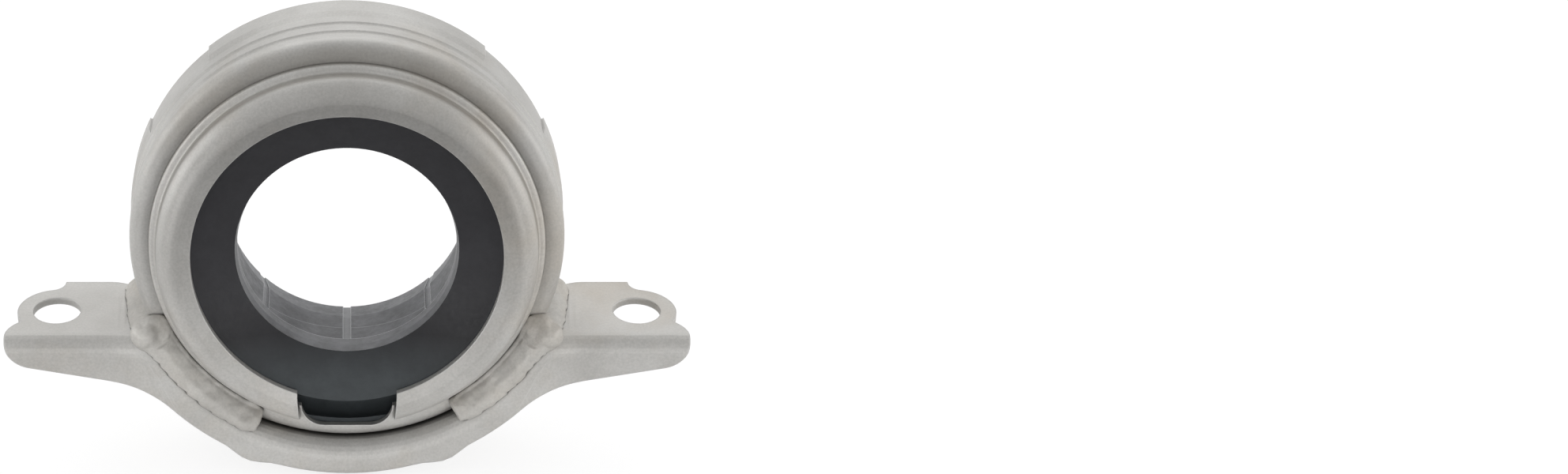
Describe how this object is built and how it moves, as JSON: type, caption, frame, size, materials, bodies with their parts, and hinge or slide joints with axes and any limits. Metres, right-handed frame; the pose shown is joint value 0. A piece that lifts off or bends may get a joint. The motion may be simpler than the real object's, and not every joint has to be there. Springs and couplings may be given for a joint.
{
  "type": "driveshaft centre bearing mount",
  "caption": "Rubber-cushioned seat for a driveshaft centre bearing in a sheet drum with a domed front ring, welded into a pressed channel bracket with bolt ears.",
  "frame": {"origin": "middle of the bearing seat on the shaft axis", "axes": "+Z along the bolts, up from the ears; +X along the line through the two bolts; -Y to the front, with the shaft axis leaning 6 degrees, front end up"},
  "size_m": [0.1848, 0.0499, 0.1237],
  "materials": {
    "drum_steel": "satin silver-grey coating",
    "retainer_steel": "satin silver-grey coating",
    "black_rubber": "satin moulded",
    "bracket_steel": "satin silver-grey coating",
    "weld_steel": "satin silver-grey coating over rough weld"
  },
  "bodies": {
    "root": {"drum_housing": "drum_steel", "front_retainer": "retainer_steel", "rubber_cushion": "black_rubber", "bracket": "bracket_steel", "weld_left": "weld_steel", "weld_right": "weld_steel"}
  },
  "joints": []
}
